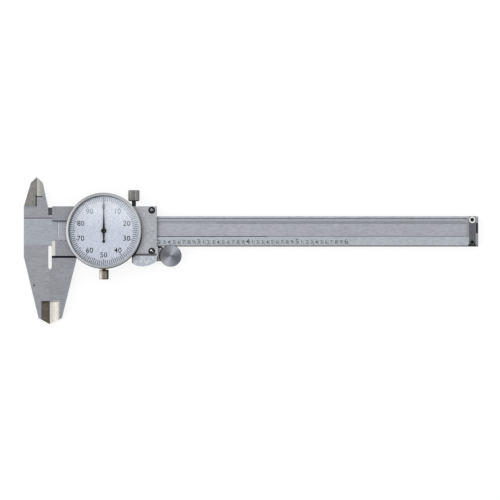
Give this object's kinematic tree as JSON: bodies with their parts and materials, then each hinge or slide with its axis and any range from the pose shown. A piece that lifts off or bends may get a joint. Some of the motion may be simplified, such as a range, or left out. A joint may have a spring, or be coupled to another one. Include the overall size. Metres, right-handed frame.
{
  "type": "dial caliper",
  "caption": "Dial caliper with outside and inside jaws, a depth rod, a sliding head with a round dial, and a thumb roller.",
  "frame": {"origin": "centre of the bounding box on the plane that the back cover rests on", "axes": "+X along the beam towards its free end, +Y across the beam towards the inside jaws, +Z out of the dial"},
  "size_m": [0.2346, 0.076, 0.0155],
  "materials": {
    "satin_steel": "satin ground hardened stainless steel",
    "brushed_steel": "ground stainless steel with a fine grain",
    "blasted_steel": "fine bead-blasted satin chrome",
    "dark_steel": "blackened steel",
    "chrome": "satin chrome plating with a slightly warm tone",
    "brass": "turned brass",
    "black_paint": "matt black lacquer",
    "dial_white": "matt pale blue-white enamel with black printing",
    "crystal": "clear acrylic, polished"
  },
  "bodies": {
    "beam": {"beam": "satin_steel", "rack": "brushed_steel", "stop_plate": "dark_steel", "stop_screw_upper": "dark_steel", "stop_screw_lower": "dark_steel"},
    "slider": {"slider_body": "brushed_steel", "gib_strip": "brass", "gib_screw_1": "dark_steel", "gib_screw_2": "dark_steel", "back_cover": "brushed_steel", "back_cover_screw_1": "dark_steel", "back_cover_screw_2": "dark_steel", "back_cover_screw_3": "dark_steel", "back_cover_screw_4": "dark_steel", "depth_rod": "brushed_steel", "depth_rod_screw_1": "dark_steel", "depth_rod_screw_2": "dark_steel", "dial_base_plate": "blasted_steel", "base_plate_screw_1": "dark_steel", "base_plate_screw_2": "dark_steel", "base_plate_screw_3": "dark_steel", "base_plate_screw_4": "dark_steel", "dial_housing": "brushed_steel", "housing_screw_1": "dark_steel", "housing_screw_2": "dark_steel", "housing_screw_3": "dark_steel", "bezel_retaining_ring": "dark_steel", "movement_bridge": "brass", "bridge_screw_1": "dark_steel", "bridge_screw_2": "dark_steel", "pinion_bush": "brass", "centre_bush": "brass", "roller_axle": "dark_steel", "roller_bracket": "brushed_steel", "bracket_screw_1": "dark_steel", "bracket_screw_2": "dark_steel"},
    "bezel": {"bezel": "chrome", "dial_face": "dial_white", "crystal_ring": "chrome", "crystal": "crystal"},
    "pinion": {"rack_pinion": "brushed_steel", "wheel_lower": "brass", "wheel_upper": "brass", "backlash_spring": "dark_steel"},
    "needle": {"centre_arbor": "brushed_steel", "needle": "black_paint"},
    "roller": {"thumb_roller": "brushed_steel"},
    "lock_pad": {"lock_pad": "brass"},
    "lock_screw": {"lock_screw": "brushed_steel"},
    "clamp_shoe": {"bezel_clamp_shoe": "brass"},
    "clamp_screw": {"bezel_clamp_screw": "chrome"}
  },
  "joints": [
    {"name": "slider_slide", "type": "slide", "parent": "beam", "child": "slider", "axis": [1, 0, 0], "range_m": [0, 0.1609]},
    {"name": "pinion_turn", "type": "hinge", "parent": "slider", "child": "pinion", "pos_m": [-0.07082, 0.01344, 0], "axis": [0, 0, 1], "continuous": true},
    {"name": "needle_turn", "type": "hinge", "parent": "slider", "child": "needle", "pos_m": [-0.07596, 0.01026, 0], "axis": [0, 0, 1], "continuous": true},
    {"name": "roller_turn", "type": "hinge", "parent": "slider", "child": "roller", "pos_m": [-0.04149, -0.0027, 0], "axis": [0, 0, 1], "continuous": true},
    {"name": "bezel_turn", "type": "hinge", "parent": "slider", "child": "bezel", "pos_m": [-0.07596, 0.01026, 0], "axis": [0, 0, 1], "continuous": true},
    {"name": "lock_pad_slide", "type": "slide", "parent": "slider", "child": "lock_pad", "axis": [0, 1, 0], "range_m": [-0.00013, 0.001]},
    {"name": "lock_screw_turn", "type": "hinge", "parent": "lock_pad", "child": "lock_screw", "pos_m": [-0.06049, 0.026, 0.00405], "axis": [0, 1, 0], "range_deg": [-90, 720]},
    {"name": "clamp_shoe_slide", "type": "slide", "parent": "slider", "child": "clamp_shoe", "axis": [0, -1, 0], "range_m": [-0.00013, 0.001]},
    {"name": "clamp_screw_turn", "type": "hinge", "parent": "clamp_shoe", "child": "clamp_screw", "pos_m": [-0.07596, -0.0128, 0.00635], "axis": [0, -1, 0], "range_deg": [-90, 720]}
  ],
  "couplings": [
    {"joint": "pinion_turn", "follows": "slider_slide", "rad_per_m": 618.42},
    {"joint": "needle_turn", "follows": "slider_slide", "rad_per_m": -2473.7},
    {"joint": "roller_turn", "follows": "slider_slide", "rad_per_m": 208.33},
    {"joint": "lock_screw_turn", "follows": "lock_pad_slide", "rad_per_m": 12566},
    {"joint": "clamp_screw_turn", "follows": "clamp_shoe_slide", "rad_per_m": 12566}
  ]
}
